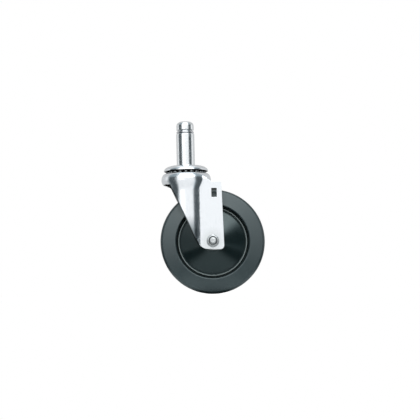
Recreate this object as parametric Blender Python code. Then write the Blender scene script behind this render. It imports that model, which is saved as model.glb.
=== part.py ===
"""Swivel stem caster with a 5 inch (127 mm) wheel, as used under wire shelving and office racks.

Units are metres. The origin is on the swivel axis, in the plane of the stem's seat, where the
post's lower end rests. +Z is up along the stem and +Y is along the wheel's axle. The wheel
trails towards +X.

Bodies, from the fixed one outwards:
  stem         stem with its kingpin, grip ring, top race cap, lower race cup
  upper_balls  the large ball ring that carries the load, rolling between cap and fork
  lower_balls  the small ball ring that holds the fork up against the cap
  fork         pressed fork, axle bolt, nut with its nylon insert, sleeve and two washers
  wheel        core, tyre and two flanged bushes, turning on the sleeve
"""

import math

import bmesh
import bpy
from mathutils import Matrix, Vector

MM = 0.001

# ---- driving dimensions, in millimetres ----
WHEEL_R = 63.5  # 5 inch wheel
TYRE_HALF_WIDTH = 13.3  # sidewalls taper from here to the tread
WHEEL_TRAIL = 30.6  # axle behind the swivel axis
WHEEL_DROP = 93.5  # axle below the seat
STEM_R = 11.1  # 7/8 inch stem
STEM_LENGTH = 54.0  # 2 1/8 inch
HEAD_R = 10.6
GROOVE_R = 8.8
GROOVE_Z = (39.7, 42.9)
SEAT_R = 13.2  # collar that the post rests on
SEAT_THICKNESS = 1.2
KINGPIN_R = 6.35
SHEET = 2.6  # thickness of the fork's steel
LEG_FACE_Y = 22.8  # outer face of a leg's flat panel

# Swivel bearing
UPPER_BALL_R = 3.175  # 1/4 inch balls
UPPER_RING_R = 21.3
UPPER_RING_Z = -9.05
UPPER_COUNT = 20
LOWER_BALL_R = 2.38  # 3/16 inch balls
LOWER_RING_R = 11.6
LOWER_RING_Z = -14.4
LOWER_COUNT = 14
UPPER_RACE_R = UPPER_BALL_R + 0.42  # race grooves clear the balls
LOWER_RACE_R = LOWER_BALL_R + 0.37

# Crown of the fork and the cap over it
CAP_R = 27.0
CAP_EDGE_Z = -6.9
CROWN_TOP_Z = -10.2
CROWN_TOP_R = 26.2
CROWN_R = 30.2
CROWN_WAIST_Z = -18.0  # where the crown is widest
CROWN_RIM_Z = -23.3
CROWN_RIM_R = 28.4

# Legs
FLUTE_R = 23.8
FLUTE_Y = 4.8  # the flute's centre line stands this far out from the middle plane
FLUTE_TOP_Z = -32.0  # from here down the flute's section is constant
VALLEY_BLEND = 1.3
LEG_INSET = -0.05  # a leg stands this far proud of the crown that it is drawn from

# Axle
BOLT_R = 4.0  # M8 bolt
HEX_ACROSS_FLATS = 13.0
SLEEVE_R = 6.35
BUSH_R = 8.3
BOSS_R = 12.7
LEG_INNER_Y = LEG_FACE_Y - SHEET
WASHER_THICKNESS = 0.8
TOUCH = 0.1  # gap left between pieces that touch
CUTTER_HALF_Y = 45.0

FULL_TURN = 2 * math.pi


# ---- scene helpers ----
def clear_scene():
    for obj in list(bpy.data.objects):
        bpy.data.objects.remove(obj)


def material(name, colour, roughness, metallic):
    made = bpy.data.materials.new(name)
    made.use_nodes = True
    shader = made.node_tree.nodes["Principled BSDF"]
    shader.inputs["Base Color"].default_value = (*colour, 1.0)
    shader.inputs["Roughness"].default_value = roughness
    shader.inputs["Metallic"].default_value = metallic
    made.diffuse_color = (*colour, 1.0)
    return made


def body(name, x=0.0, z=0.0):
    """An empty on a body's joint axis. Its pieces are parented to it."""
    empty = bpy.data.objects.new(name, None)
    empty.location = (x * MM, 0.0, z * MM)
    bpy.context.scene.collection.objects.link(empty)
    return empty


def add(name, bm, finish, parent=None, location=(0, 0, 0), rotation=(0, 0, 0)):
    """Turns a bmesh in millimetres into a named object."""
    bmesh.ops.remove_doubles(bm, verts=bm.verts, dist=1e-5)
    bmesh.ops.recalc_face_normals(bm, faces=bm.faces)
    bmesh.ops.transform(bm, matrix=Matrix.Scale(MM, 4), verts=bm.verts)
    mesh = bpy.data.meshes.new(name)
    bm.to_mesh(mesh)
    bm.free()
    mesh.shade_smooth()
    mesh.set_sharp_from_angle(angle=math.radians(32))
    obj = bpy.data.objects.new(name, mesh)
    obj.location = Vector(location) * MM
    obj.rotation_euler = rotation
    obj.parent = parent
    if finish:
        mesh.materials.append(finish)
    else:
        obj.hide_render = True
        obj.display_type = "WIRE"
    bpy.context.scene.collection.objects.link(obj)
    return obj


def boolean(obj, other, operation):
    modifier = obj.modifiers.new(operation.title() + "_" + other.name, "BOOLEAN")
    modifier.operation = operation
    modifier.object = other


# ---- shape helpers ----
def arc(centre, radius, start, end, steps):
    """Points of an arc in a profile's plane, angles in degrees."""
    angles = [math.radians(start + (end - start) * i / steps) for i in range(steps + 1)]
    return [
        (centre[0] + radius * math.cos(a), centre[1] + radius * math.sin(a)) for a in angles
    ]


def rounded(corners, steps=4):
    """A closed outline from (x, y, radius) corners, each rounded by an arc of that radius."""
    points = []
    for i, (x, y, radius) in enumerate(corners):
        here = Vector((x, y))
        before = (Vector(corners[i - 1][:2]) - here).normalized()
        after = (Vector(corners[(i + 1) % len(corners)][:2]) - here).normalized()
        if not radius:
            points.append(here)
            continue
        half = before.angle(after) / 2
        centre = here + (before + after).normalized() * radius / math.sin(half)
        first = here + before * radius / math.tan(half) - centre
        last = here + after * radius / math.tan(half) - centre
        sweep = first.angle_signed(last)
        points += [
            centre + Matrix.Rotation(-sweep * k / steps, 2) @ first for k in range(steps + 1)
        ]
    return points


def turned(profile, segments):
    """A solid turned about Z. A profile that starts on the axis ends on it, any other is closed."""
    bm = bmesh.new()
    verts = [bm.verts.new((r, 0.0, z)) for r, z in profile]
    pairs = list(zip(verts, verts[1:]))
    if profile[0][0] > 0:
        pairs.append((verts[-1], verts[0]))
    edges = [bm.edges.new(pair) for pair in pairs]
    bmesh.ops.spin(
        bm,
        geom=verts + edges,
        cent=(0, 0, 0),
        axis=(0, 0, 1),
        angle=FULL_TURN,
        steps=segments,
        use_merge=True,
    )
    return bm


def prism(outline, low, high):
    """An outline in the XZ plane, extruded along Y."""
    bm = bmesh.new()
    face = bm.faces.new([bm.verts.new((x, low, z)) for x, z in outline])
    side = bmesh.ops.extrude_face_region(bm, geom=[face])
    moved = [v for v in side["geom"] if isinstance(v, bmesh.types.BMVert)]
    bmesh.ops.translate(bm, verts=moved, vec=(0, high - low, 0))
    return bm


def hexagon():
    """Corners of the bolt head and nut, with one corner pointing down."""
    corner_r = HEX_ACROSS_FLATS / 2 / math.cos(math.pi / 6)
    return arc((0, 0), corner_r, -90, 210, 5)


# ---- stem body ----
def make_stem(parent, steel):
    groove_low, groove_high = GROOVE_Z
    profile = [
        (0, STEM_LENGTH),
        (5.2, STEM_LENGTH),
        (8.9, STEM_LENGTH - 1.4),
        (10.2, STEM_LENGTH - 2.6),
        (HEAD_R, STEM_LENGTH - 3.8),
        (HEAD_R, groove_high + 1.5),
        (HEAD_R - 0.5, groove_high + 0.6),
        (GROOVE_R, groove_high),
        (GROOVE_R, groove_low),
        (STEM_R - 0.5, groove_low - 0.2),
        (STEM_R, groove_low - 0.8),
        (STEM_R, 0),
        (SEAT_R, 0),
        (SEAT_R, -SEAT_THICKNESS),
        (KINGPIN_R, -SEAT_THICKNESS),
        (KINGPIN_R, -19.3),
        (9.8, -19.3),
        (9.8, -20.0),
        (8.0, -21.7),
        (4.6, -22.5),
        (0, -22.7),
    ]
    add("stem", turned(profile, 40), steel, parent)


def make_grip_ring(parent, steel):
    """Split spring ring that snaps into the stem's groove and grips the post's bore."""
    wire_r, sides, steps = 0.95, 6, 30
    ring_r = GROOVE_R + wire_r + TOUCH
    ring_z = sum(GROOVE_Z) / 2 - 0.2
    sweep = math.radians(336)
    start = math.radians(12)
    bm = bmesh.new()
    rings = []
    for i in range(steps + 1):
        turn = Matrix.Rotation(start + sweep * i / steps, 4, "Z")
        points = arc((ring_r, ring_z), wire_r, 0, 360, sides)[:-1]
        rings.append([bm.verts.new(turn @ Vector((r, 0, z))) for r, z in points])
    for a, b in zip(rings, rings[1:]):
        for k in range(sides):
            bm.faces.new((a[k], a[(k + 1) % sides], b[(k + 1) % sides], b[k]))
    bm.faces.new(rings[0])
    bm.faces.new(rings[-1])
    add("grip_ring", bm, steel, parent)


def make_top_cap(parent, steel):
    """Pressed cap: its underside is the upper race of the large ball ring."""
    hole = KINGPIN_R + TOUCH
    dome = [
        (SEAT_R + 0.25, -0.15),
        (17.5, -0.3),
        (20.5, -0.8),
        (22.8, -1.6),
        (24.6, -2.8),
        (26.0, -4.2),
        (26.8, -5.8),
        (CAP_R, CAP_EDGE_Z),
        (CAP_R - 1.4, CAP_EDGE_Z),
    ]
    race = arc((UPPER_RING_R, UPPER_RING_Z), UPPER_RACE_R, 40, 125, 5)
    inside = [(17.2, -4.4), (15.0, -3.4), (hole, -3.4)]
    seat = [(hole, -SEAT_THICKNESS - TOUCH), (SEAT_R + 0.25, -SEAT_THICKNESS - TOUCH)]
    profile = dome + race + inside + seat
    add("top_cap", turned(profile, 48), steel, parent)


def make_lower_race(parent, steel):
    """Dished washer that the kingpin's riveted head holds under the small ball ring."""
    race = arc((LOWER_RING_R, LOWER_RING_Z), LOWER_RACE_R, -30, -150, 5)
    profile = [
        (15.4, -14.9),
        *race,
        (KINGPIN_R + TOUCH, -15.9),
        (KINGPIN_R + TOUCH, -19.2),
        (12.6, -19.2),
        (15.4, -17.2),
    ]
    add("lower_race", turned(profile, 36), steel, parent)


def make_balls(prefix, parent, steel, count, ball_r, ring_r, ring_z):
    bm = bmesh.new()
    bmesh.ops.create_icosphere(bm, subdivisions=2, radius=ball_r)
    first = add(f"{prefix}_01", bm, steel, parent, (ring_r, 0, ring_z))
    for i in range(1, count):
        turn = FULL_TURN * i / count
        ball = bpy.data.objects.new(f"{prefix}_{i + 1:02d}", first.data)
        ball.parent = parent
        ball.location = (
            ring_r * MM * math.cos(turn),
            ring_r * MM * math.sin(turn),
            ring_z * MM,
        )
        bpy.context.scene.collection.objects.link(ball)


# ---- fork body ----
def crown_radius(z):
    """Outer radius of the crown: an elliptical shoulder down to the waist, then a skirt that
    curls in to the rim."""
    if z > CROWN_WAIST_Z:
        rise = min(1.0, (z - CROWN_WAIST_Z) / (CROWN_TOP_Z - CROWN_WAIST_Z))
        return CROWN_TOP_R + (CROWN_R - CROWN_TOP_R) * math.sqrt(1 - rise * rise)
    drop = (CROWN_WAIST_Z - z) / (CROWN_WAIST_Z - CROWN_RIM_Z)
    return CROWN_R - (CROWN_R - CROWN_RIM_R) * drop * drop


def race_angle(z, ring_z, race_r):
    """Angle in degrees, from the horizontal, at which a race groove meets the height z."""
    return math.degrees(math.asin((z - ring_z) / race_r))


def crown_profile():
    """Section of the crown: a race for each ball ring, shoulder and skirt."""
    upper = (UPPER_RING_R, UPPER_RING_Z)
    lower = (LOWER_RING_R, LOWER_RING_Z)
    plate_top, plate_under, plate_hole = -10.4, -12.9, 7.2
    heights = [CROWN_TOP_Z, -10.7, -11.8, -13.6, -15.6, CROWN_WAIST_Z, -20.8, CROWN_RIM_Z]
    outside = [(crown_radius(z), z) for z in heights]
    inside = [(crown_radius(z) - SHEET, z) for z in (CROWN_RIM_Z, -20.8, CROWN_WAIST_Z)]
    under = [(26.2, -15.6)] + arc(upper, UPPER_RACE_R + SHEET, -52, -130, 4)
    edge = race_angle(plate_under, LOWER_RING_Z, LOWER_RACE_R)
    lower_race = [(14.9, plate_under)] + arc(lower, LOWER_RACE_R, edge, 180 - edge, 4)
    plate = [(plate_hole, plate_under), (plate_hole, plate_top)]
    inner_edge = race_angle(plate_top, UPPER_RING_Z, UPPER_RACE_R)
    outer_edge = race_angle(CROWN_TOP_Z, UPPER_RING_Z, UPPER_RACE_R)
    upper_race = arc(upper, UPPER_RACE_R, 180 - inner_edge, 360 + outer_edge, 8)
    return outside + inside + under + lower_race + plate + upper_race


def smooth_max(a, b, blend):
    """The larger of a and b, with a fillet where they cross."""
    share = min(1.0, max(0.0, 0.5 + 0.5 * (a - b) / blend))
    return b + (a - b) * share + blend * share * (1 - share)


def flute_section(z):
    """Radius of a leg's flute at a height, and how far out its centre line is.

    In the crown it is the crown's own circle. Below, it narrows to a constant section."""
    share = min(1.0, max(0.0, (CROWN_WAIST_Z - z) / (CROWN_WAIST_Z - FLUTE_TOP_Z)))
    share = share * share * (3 - 2 * share)
    radius = crown_radius(max(z, CROWN_WAIST_Z))
    return radius + (FLUTE_R - radius) * share, FLUTE_Y * share


def leg_surface(x, z, inset):
    """Distance from the middle plane of a leg's surface, inset from its outer face.

    Round flute in front, flat panel behind, with a fillet in the valley between them."""
    radius, centre_y = flute_section(z)
    across = (radius - inset) ** 2 - x * x
    flute = centre_y + math.sqrt(max(across, 0.0))
    if x <= 0:
        return flute
    return smooth_max(flute if across > 0 else 0.0, LEG_FACE_Y - inset, VALLEY_BLEND)


def leg_row(z, inset, side):
    """Points across a leg at one height: by angle round the flute, then along the panel."""
    radius = flute_section(z)[0] - inset
    xs = [radius * math.sin(math.radians(7.5 * k)) for k in range(-8, 5)]
    panel_start = xs[-1]
    xs += [panel_start + step for step in (1.2, 2.4, 3.6, 4.8, 7.0)] + [48.0]
    return [(x, side * leg_surface(x, z, inset), z) for x in xs]


def leg_sheet(side):
    """A leg's sheet of steel before it is trimmed, on one side of the middle plane."""
    rows = [-11.5, -13.2, -15.0, CROWN_WAIST_Z, -20.6, -23.3, -26.0, -29.0, FLUTE_TOP_Z, -70, -108]
    bm = bmesh.new()
    outer, inner = [
        [[bm.verts.new(point) for point in leg_row(z, inset, side)] for z in rows]
        for inset in (LEG_INSET, SHEET)
    ]
    last_row, last_column = len(rows) - 1, len(outer[0]) - 1
    for i in range(last_row):
        for j in range(last_column):
            for grid in (outer, inner):
                bm.faces.new((grid[i][j], grid[i][j + 1], grid[i + 1][j + 1], grid[i + 1][j]))
        for j in (0, last_column):
            bm.faces.new((outer[i][j], outer[i + 1][j], inner[i + 1][j], inner[i][j]))
    for j in range(last_column):
        for i in (0, last_row):
            bm.faces.new((outer[i][j], outer[i][j + 1], inner[i][j + 1], inner[i][j]))
    return bm


def leg_outline():
    """Side view of a leg, clockwise from inside the skirt's front, as (x, z, corner radius)."""
    foot_z = -WHEEL_DROP - 10.2
    return rounded(
        [
            (-23.8, -20.0, 0),
            (-23.8, CROWN_RIM_Z - 0.4, 0),
            (-19.6, -24.6, 9.0),
            (9.2, -88.4, 34.0),
            (17.0, foot_z + 1.6, 15.0),
            (30.0, foot_z, 12.0),
            (44.2, foot_z, 5.0),
            (42.2, -21.2, 4.0),
            (29.6, -21.2, 4.0),
            (17.4, -12.6, 1.5),
            (13.6, -13.2, 0),
            (10.0, -20.0, 0),
        ]
    )


def make_fork(parent, steel):
    fork = add("fork", turned(crown_profile(), 48), steel, parent)
    outline = add("leg_outline", prism(leg_outline(), -CUTTER_HALF_Y, CUTTER_HALF_Y), None)
    for name, side in (("leg_near", -1), ("leg_far", 1)):
        leg = add(name, leg_sheet(side), None)
        boolean(leg, outline, "INTERSECT")
        boolean(fork, leg, "UNION")
    low, high, near, far = -40.7, -29.8, 30.0, 36.6
    corners = ((near, low), (near, high), (far, high), (far, low))
    window = rounded([(x, z, 0.6) for x, z in corners], 2)
    window_cutter = add("window_cutter", prism(window, -CUTTER_HALF_Y, CUTTER_HALF_Y), None)
    hole = arc((WHEEL_TRAIL, -WHEEL_DROP), BOLT_R + 0.2, 0, 360, 24)[:-1]
    hole_cutter = add("hole_cutter", prism(hole, -CUTTER_HALF_Y, CUTTER_HALF_Y), None)
    boolean(fork, window_cutter, "DIFFERENCE")
    boolean(fork, hole_cutter, "DIFFERENCE")


def make_bolt(parent, steel):
    """Hex bolt from the far side. Its end stands a little proud of the nut."""
    head_low = LEG_FACE_Y + TOUCH
    bolt = add("axle_bolt", prism(hexagon(), head_low, head_low + 5.2), steel, parent)
    shank = [(0, 32.2), (3.2, 32.2), (BOLT_R, 31.4), (BOLT_R, -25.0), (0, -25.0)]
    rod = add("bolt_shank", turned(shank, 24), None, parent, rotation=(math.pi / 2, 0, 0))
    boolean(bolt, rod, "UNION")


def make_nut(parent, steel, nylon):
    """Hex lock nut on the near side, with a nylon insert in its collar."""
    face = -LEG_FACE_Y - TOUCH
    upright = (math.pi / 2, 0, 0)
    hole_r = BOLT_R + 0.12
    nut = add("axle_nut", prism(hexagon(), face - 6.2, face), steel, parent)
    collar = [(6.1, 28.0), (6.1, 30.2), (5.6, 31.0), (4.9, 31.0), (5.3, 30.5), (5.3, 28.0)]
    bore = [(0, 35.0), (hole_r, 35.0), (hole_r, 20.0), (0, 20.0)]
    ring = add("nut_collar", turned(collar, 24), None, parent, rotation=upright)
    hole = add("nut_bore", turned(bore, 24), None, parent, rotation=upright)
    boolean(nut, ring, "UNION")
    boolean(nut, hole, "DIFFERENCE")
    insert = [(5.2, 29.3), (5.2, 30.4), (4.8, 30.7), (hole_r, 30.7), (hole_r, 29.3)]
    add("nylon_insert", turned(insert, 24), nylon, parent, rotation=upright)


def make_sleeve_and_washers(parent, steel):
    """The sleeve is clamped between the legs by the bolt, with a washer at each end."""
    bore = BOLT_R + 0.2
    inner = LEG_INNER_Y - TOUCH - WASHER_THICKNESS
    half = inner - TOUCH
    upright = (math.pi / 2, 0, 0)
    tube = [(SLEEVE_R, half), (SLEEVE_R, -half), (bore, -half), (bore, half)]
    add("axle_sleeve", turned(tube, 32), steel, parent, rotation=upright)
    for name, low in (("washer_near", inner), ("washer_far", -inner - WASHER_THICKNESS)):
        high = low + WASHER_THICKNESS
        ring = [(9.6, high), (9.6, low), (bore, low), (bore, high)]
        add(name, turned(ring, 28), steel, parent, rotation=upright)


# ---- wheel body ----
def mirrored(half):
    """A closed section from its half on the near side, listed from bore to rim."""
    return half + [(r, -y) for r, y in reversed(half)]


def make_wheel(parent, plastic, rubber, nylon):
    upright = (math.pi / 2, 0, 0)
    bore = BUSH_R + 0.15
    core = [
        (bore, 17.4),
        (BOSS_R - 0.4, 17.4),
        (BOSS_R + 0.1, 16.9),
        (BOSS_R + 0.7, 16.3),
        (39.8, 6.1),
        (40.5, 7.0),
        (41.9, 7.0),
        (42.3, 4.2),
        (43.7, 3.8),
        (44.2, 4.6),
        (44.2, 9.0),
        (47.6, 9.0),
    ]
    add("wheel_core", turned(mirrored(core), 48), plastic, parent, rotation=upright)
    w = TYRE_HALF_WIDTH
    tyre = [
        (47.9, 9.3),
        (44.7, 9.3),
        (44.4, 9.7),
        (44.4, w - 1.5),
        (45.3, w - 0.4),
        (46.6, w),
        (60.6, w - 2.6),
        (62.5, w - 4.2),
        (63.3, w - 6.4),
        (WHEEL_R, 3.0),
    ]
    add("tyre", turned(mirrored(tyre), 60), rubber, parent, rotation=upright)
    for name, side in (("bush_near", 1), ("bush_far", -1)):
        inner_r = SLEEVE_R + 0.15
        bush = [(BUSH_R, 2.0), (BUSH_R, 17.5), (10.6, 17.5), (10.6, 18.7), (inner_r, 18.7), (inner_r, 2.0)]
        turned_bush = turned([(r, side * y) for r, y in bush], 32)
        add(name, turned_bush, nylon, parent, rotation=upright)


def main():
    clear_scene()
    zinc = material("zinc_plate", (0.62, 0.65, 0.68), 0.3, 1.0)
    bright = material("bright_steel", (0.72, 0.74, 0.76), 0.18, 1.0)
    rubber = material("grey_rubber", (0.085, 0.098, 0.098), 0.55, 0.0)
    plastic = material("black_plastic", (0.02, 0.026, 0.027), 0.25, 0.0)
    nylon = material("dark_nylon", (0.02, 0.024, 0.025), 0.42, 0.0)

    stem_body = body("stem_body")
    make_stem(stem_body, zinc)
    make_grip_ring(stem_body, bright)
    make_top_cap(stem_body, zinc)
    make_lower_race(stem_body, zinc)

    upper = body("upper_balls_body")
    make_balls(
        "upper_ball", upper, bright, UPPER_COUNT, UPPER_BALL_R, UPPER_RING_R, UPPER_RING_Z
    )
    lower = body("lower_balls_body")
    make_balls(
        "lower_ball", lower, bright, LOWER_COUNT, LOWER_BALL_R, LOWER_RING_R, LOWER_RING_Z
    )

    make_fork(body("fork_body"), zinc)
    axle = body("axle_body", WHEEL_TRAIL, -WHEEL_DROP)
    make_bolt(axle, zinc)
    make_nut(axle, zinc, nylon)
    make_sleeve_and_washers(axle, bright)
    make_wheel(body("wheel_body", WHEEL_TRAIL, -WHEEL_DROP), plastic, rubber, nylon)


main()
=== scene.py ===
"""Looks of the swivel stem caster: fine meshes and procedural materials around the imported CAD.

Meshes are worked out in millimetres and scaled once, in add(). Turned pieces come from one
lathe, the fork from a sheet that is triangulated inside its outline, and each piece rides on
the CAD body of the node it stands for.
"""

import math

import bmesh
import bpy
from mathutils import Matrix, Vector
from mathutils.geometry import delaunay_2d_cdt


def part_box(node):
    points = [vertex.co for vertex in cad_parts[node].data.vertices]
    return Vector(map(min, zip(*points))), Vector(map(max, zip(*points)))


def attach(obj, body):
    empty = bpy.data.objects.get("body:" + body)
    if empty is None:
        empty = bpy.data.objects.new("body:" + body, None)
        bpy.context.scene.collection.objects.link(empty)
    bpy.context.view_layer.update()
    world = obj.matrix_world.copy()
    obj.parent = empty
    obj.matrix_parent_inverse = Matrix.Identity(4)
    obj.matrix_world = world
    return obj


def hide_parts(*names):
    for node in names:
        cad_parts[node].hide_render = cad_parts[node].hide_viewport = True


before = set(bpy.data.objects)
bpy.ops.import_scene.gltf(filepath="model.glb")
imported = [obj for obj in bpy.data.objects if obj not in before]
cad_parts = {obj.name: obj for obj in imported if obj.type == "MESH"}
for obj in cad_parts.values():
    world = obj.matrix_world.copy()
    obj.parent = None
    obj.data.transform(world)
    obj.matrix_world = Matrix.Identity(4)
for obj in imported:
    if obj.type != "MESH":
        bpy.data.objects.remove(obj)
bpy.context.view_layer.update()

MM = 0.001
FULL_TURN = 2 * math.pi
SMOOTH_ANGLE = 35  # degrees: sharper edges stay sharp


# ---- where things are, from the CAD ----
def box_mm(node):
    low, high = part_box(node)
    return low / MM, high / MM


tyre_low, tyre_high = box_mm("tyre")
WHEEL_X = (tyre_low.x + tyre_high.x) / 2
WHEEL_Z = (tyre_low.z + tyre_high.z) / 2
WHEEL_R = (tyre_high.z - tyre_low.z) / 2
TYRE_HALF_WIDTH = tyre_high.y
FLOOR_Z = tyre_low.z
STEM_LENGTH = box_mm("stem")[1].z

# Shared sizes in millimetres, as in the CAD
STEM_R = 11.1
HEAD_R = 10.6
GROOVE_R = 8.8
GROOVE_Z = (39.7, 42.9)
SEAT_R = 13.2
KINGPIN_R = 6.35
SHEET = 2.6
LEG_FACE_Y = 22.8
UPPER_RING = (21.3, -9.05)
LOWER_RING = (11.6, -14.4)
UPPER_BALL_R = 3.175
LOWER_BALL_R = 2.38
UPPER_RACE_R = UPPER_BALL_R + 0.42
LOWER_RACE_R = LOWER_BALL_R + 0.37
CAP_R = 27.0
CAP_EDGE_Z = -6.9
CROWN_TOP_Z = -10.2
CROWN_TOP_R = 26.2
CROWN_R = 30.2
CROWN_WAIST_Z = -18.0
CROWN_RIM_Z = -23.3
CROWN_RIM_R = 28.4
FLUTE_R = 23.8
FLUTE_Y = 4.8
FLUTE_TOP_Z = -32.0
VALLEY_BLEND = 1.7
BOLT_R = 4.0
HEX_ACROSS_FLATS = 13.0
SLEEVE_R = 6.35
BUSH_R = 8.3
BOSS_R = 12.7
LEG_INNER_Y = LEG_FACE_Y - SHEET
LEG_TOP_Z = CROWN_RIM_Z - 0.7
LEG_FRONT = ((-19.6, -24.6), (9.2, -88.4))  # a leg's slanted front edge, in x and z
PLATE_TOP_Z = -10.4
PLATE_UNDER_Z = -12.9
NUT_HEIGHT = 6.2
BOLT_HEAD_HEIGHT = 5.2
BOLT_END = 32.2  # past the middle plane, on the nut's side
WASHER_THICKNESS = 0.8
TOUCH = 0.1

# The bolt's thread, which the CAD leaves out
THREAD_PITCH = 1.25
THREAD_DEPTH = 0.42

# Where looks change, in millimetres
LIP_HIGHLIGHT_R = (40.3, 42.0)  # painted highlight on the lip round the dish
LIP_HIGHLIGHT_FADE = 0.4  # width over which the lip's painted highlight fades in
INSIDE_SHADE_R = (27.7, 25.4)  # painted shade inside the crown, and inside the cap's dome
INSIDE_SHADE_LOW_Z = -24.0
INSIDE_SHADE_TOP_Z = -3.7
NUT_SHADOW_R = (7.0, 8.0)  # from the axle: painted shadow round the nut's edge, then darker
DARKER_ROUND_NUT_R = (8.5, 17.0)  # from the axle: darker round the nut, then bright
EDGE_SHADE = (1.1, 0.6)  # from the legs' slanted front edge: clear, then painted shade
INNER_FACE_SHADE_Z = (-36.0, -28.0)  # clear, then painted shade
FOOT_REFLECTION_Z = (-62.0, -80.0)  # bright, then painted dark reflection
FOOT_REFLECTION_X = (13.5, 11.0)  # bright, then painted dark reflection
VALLEY_X = ((13.4, 15.0), (19.0, 17.0))  # smooth, then rippled, from each side

# Studio. Flank, box and lamp edges are degrees to the side of the front, as (from, to).
FLANK_RIGHT = ((38, 46), (78, 88))
FLANK_LEFT = ((41, 50), (88, 98))
FRONT_LIGHT = 1.0
LAMP_LIGHT = 3.0  # a soft patch on the front wall, to the left
LAMP_LEFT = ((6, 16), (28, 38))
BACK_LIGHT = 0.65
FLANK_LIGHT = 0.08
HIGH_FLANK_LIGHT = 0.35
FLANK_COLOUR = (0.84, 1.0, 1.08, 1.0)
BOX_LIGHT = 3.2
BOX_RIGHT_FADE = (48, 72)
BOX_LEFT_FADE = (20, 44)
SIDE_LIGHT = 0.6
TOP_LIGHT = 1.1
BELOW_LIGHT = 0.95
FLOOR_R = 300.0
PAPER_LIT = (0.90, 0.92, 0.92)  # a ring round the wheel
PAPER_DIM = (0.12, 0.13, 0.13)  # painted shade, below the wheel and far off
PAPER_RING = ((18, 34), (125, 75))  # millimetres from under the axle: painted shade, then lit, from each side
PAPER_SEEN = (0.35, 0.35, 0.35)  # for the camera, which sees the glow on top
PAPER_GLOW = 0.85
KEY_POWER = 0.8


# ---- mesh helpers ----
def arc(centre, radius, start, end, steps):
    """Points of an arc between two angles in degrees."""
    angles = [math.radians(start + (end - start) * i / steps) for i in range(steps + 1)]
    return [(centre[0] + radius * math.cos(a), centre[1] + radius * math.sin(a)) for a in angles]


def corner_arc(before, here, after, radius, steps):
    """Points of an arc of that radius that rounds the corner at here."""
    here = Vector(here)
    to_before, to_after = Vector(before) - here, Vector(after) - here
    a, b = to_before.normalized(), to_after.normalized()
    angle = a.angle(b)
    if radius <= 0 or angle > math.pi - 0.01 or angle < 0.01:
        return [tuple(here)]
    reach = min(radius / math.tan(angle / 2), 0.49 * to_before.length, 0.49 * to_after.length)
    radius = reach * math.tan(angle / 2)
    centre = here + (a + b).normalized() * radius / math.sin(angle / 2)
    first = here + a * reach - centre
    sweep = first.angle_signed(here + b * reach - centre)
    return [tuple(centre + Matrix.Rotation(-sweep * k / steps, 2) @ first) for k in range(steps + 1)]


def rounded(corners, closed=True, steps=5):
    """A smooth outline from (x, y) or (x, y, radius) corners."""
    points = []
    last = len(corners) - 1
    for i, corner in enumerate(corners):
        radius = corner[2] if len(corner) > 2 else 0
        if not closed and i in (0, last):
            radius = 0
        before, after = corners[i - 1][:2], corners[(i + 1) % len(corners)][:2]
        points += corner_arc(before, corner[:2], after, radius, steps)
    return points


def turned(profile, segments):
    """A solid turned about Z. A profile that starts on the axis ends on it, any other is closed."""
    bm = bmesh.new()
    angles = [FULL_TURN * k / segments for k in range(segments)]
    rings = []
    for r, z in profile:
        if r < 1e-6:
            rings.append([bm.verts.new((0, 0, z))] * segments)
            continue
        rings.append([bm.verts.new((r * math.cos(a), r * math.sin(a), z)) for a in angles])
    pairs = list(zip(rings, rings[1:]))
    if profile[0][0] > 1e-6:
        pairs.append((rings[-1], rings[0]))
    for a, b in pairs:
        for k in range(segments):
            n = (k + 1) % segments
            corners = list(dict.fromkeys((a[k], a[n], b[n], b[k])))
            if len(corners) > 2:
                bm.faces.new(corners)
    return bm


def prism(outline, low, high):
    """An outline in the XZ plane, extruded along Y."""
    bm = bmesh.new()
    face = bm.faces.new([bm.verts.new((x, low, z)) for x, z in outline])
    side = bmesh.ops.extrude_face_region(bm, geom=[face])
    moved = [v for v in side["geom"] if isinstance(v, bmesh.types.BMVert)]
    bmesh.ops.translate(bm, verts=moved, vec=(0, high - low, 0))
    return bm


def at_axle(bm, turn=0.0):
    """Moves a bmesh, still in millimetres, to the axle, turned about X first."""
    matrix = Matrix.Translation((WHEEL_X, 0, WHEEL_Z)) @ Matrix.Rotation(turn, 4, "X")
    bmesh.ops.transform(bm, matrix=matrix, verts=bm.verts)
    return bm


def on_axle(profile, segments):
    """A solid turned about the axle. Its lathe heights run along -Y."""
    return at_axle(turned(profile, segments), math.pi / 2)


def add(name, bm):
    """Turns a bmesh in millimetres into an object in metres."""
    bmesh.ops.remove_doubles(bm, verts=bm.verts, dist=1e-5)
    bmesh.ops.recalc_face_normals(bm, faces=bm.faces)
    bmesh.ops.transform(bm, matrix=Matrix.Scale(MM, 4), verts=bm.verts)
    mesh = bpy.data.meshes.new(name)
    bm.to_mesh(mesh)
    bm.free()
    mesh.shade_smooth()
    mesh.set_sharp_from_angle(angle=math.radians(SMOOTH_ANGLE))
    obj = bpy.data.objects.new(name, mesh)
    bpy.context.scene.collection.objects.link(obj)
    return obj


def settle(obj, smooth=SMOOTH_ANGLE):
    """Applies an object's modifiers and shades it again."""
    graph = bpy.context.evaluated_depsgraph_get()
    mesh = bpy.data.meshes.new_from_object(obj.evaluated_get(graph))
    obj.modifiers.clear()
    obj.data = mesh
    mesh.shade_smooth()
    mesh.set_sharp_from_angle(angle=math.radians(smooth))
    return obj


def combine(obj, other, operation):
    """Joins another object to obj, or cuts or keeps what they share, and removes the other."""
    modifier = obj.modifiers.new("combine", "BOOLEAN")
    modifier.operation = operation
    modifier.object = other
    bpy.context.view_layer.update()
    settle(obj)
    bpy.data.objects.remove(other)
    return obj


def weighted(obj):
    """Shades an object's bevels and fillets by the flat faces beside them."""
    modifier = obj.modifiers.new("weighted_normals", "WEIGHTED_NORMAL")
    modifier.mode = "FACE_AREA"
    modifier.keep_sharp = True


def finish_piece(obj, body, node, material):
    """Puts a piece on its body, in place of the CAD node it stands for."""
    obj.data.materials.clear()
    obj.data.materials.append(material)
    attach(obj, body)
    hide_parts(node)


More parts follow.
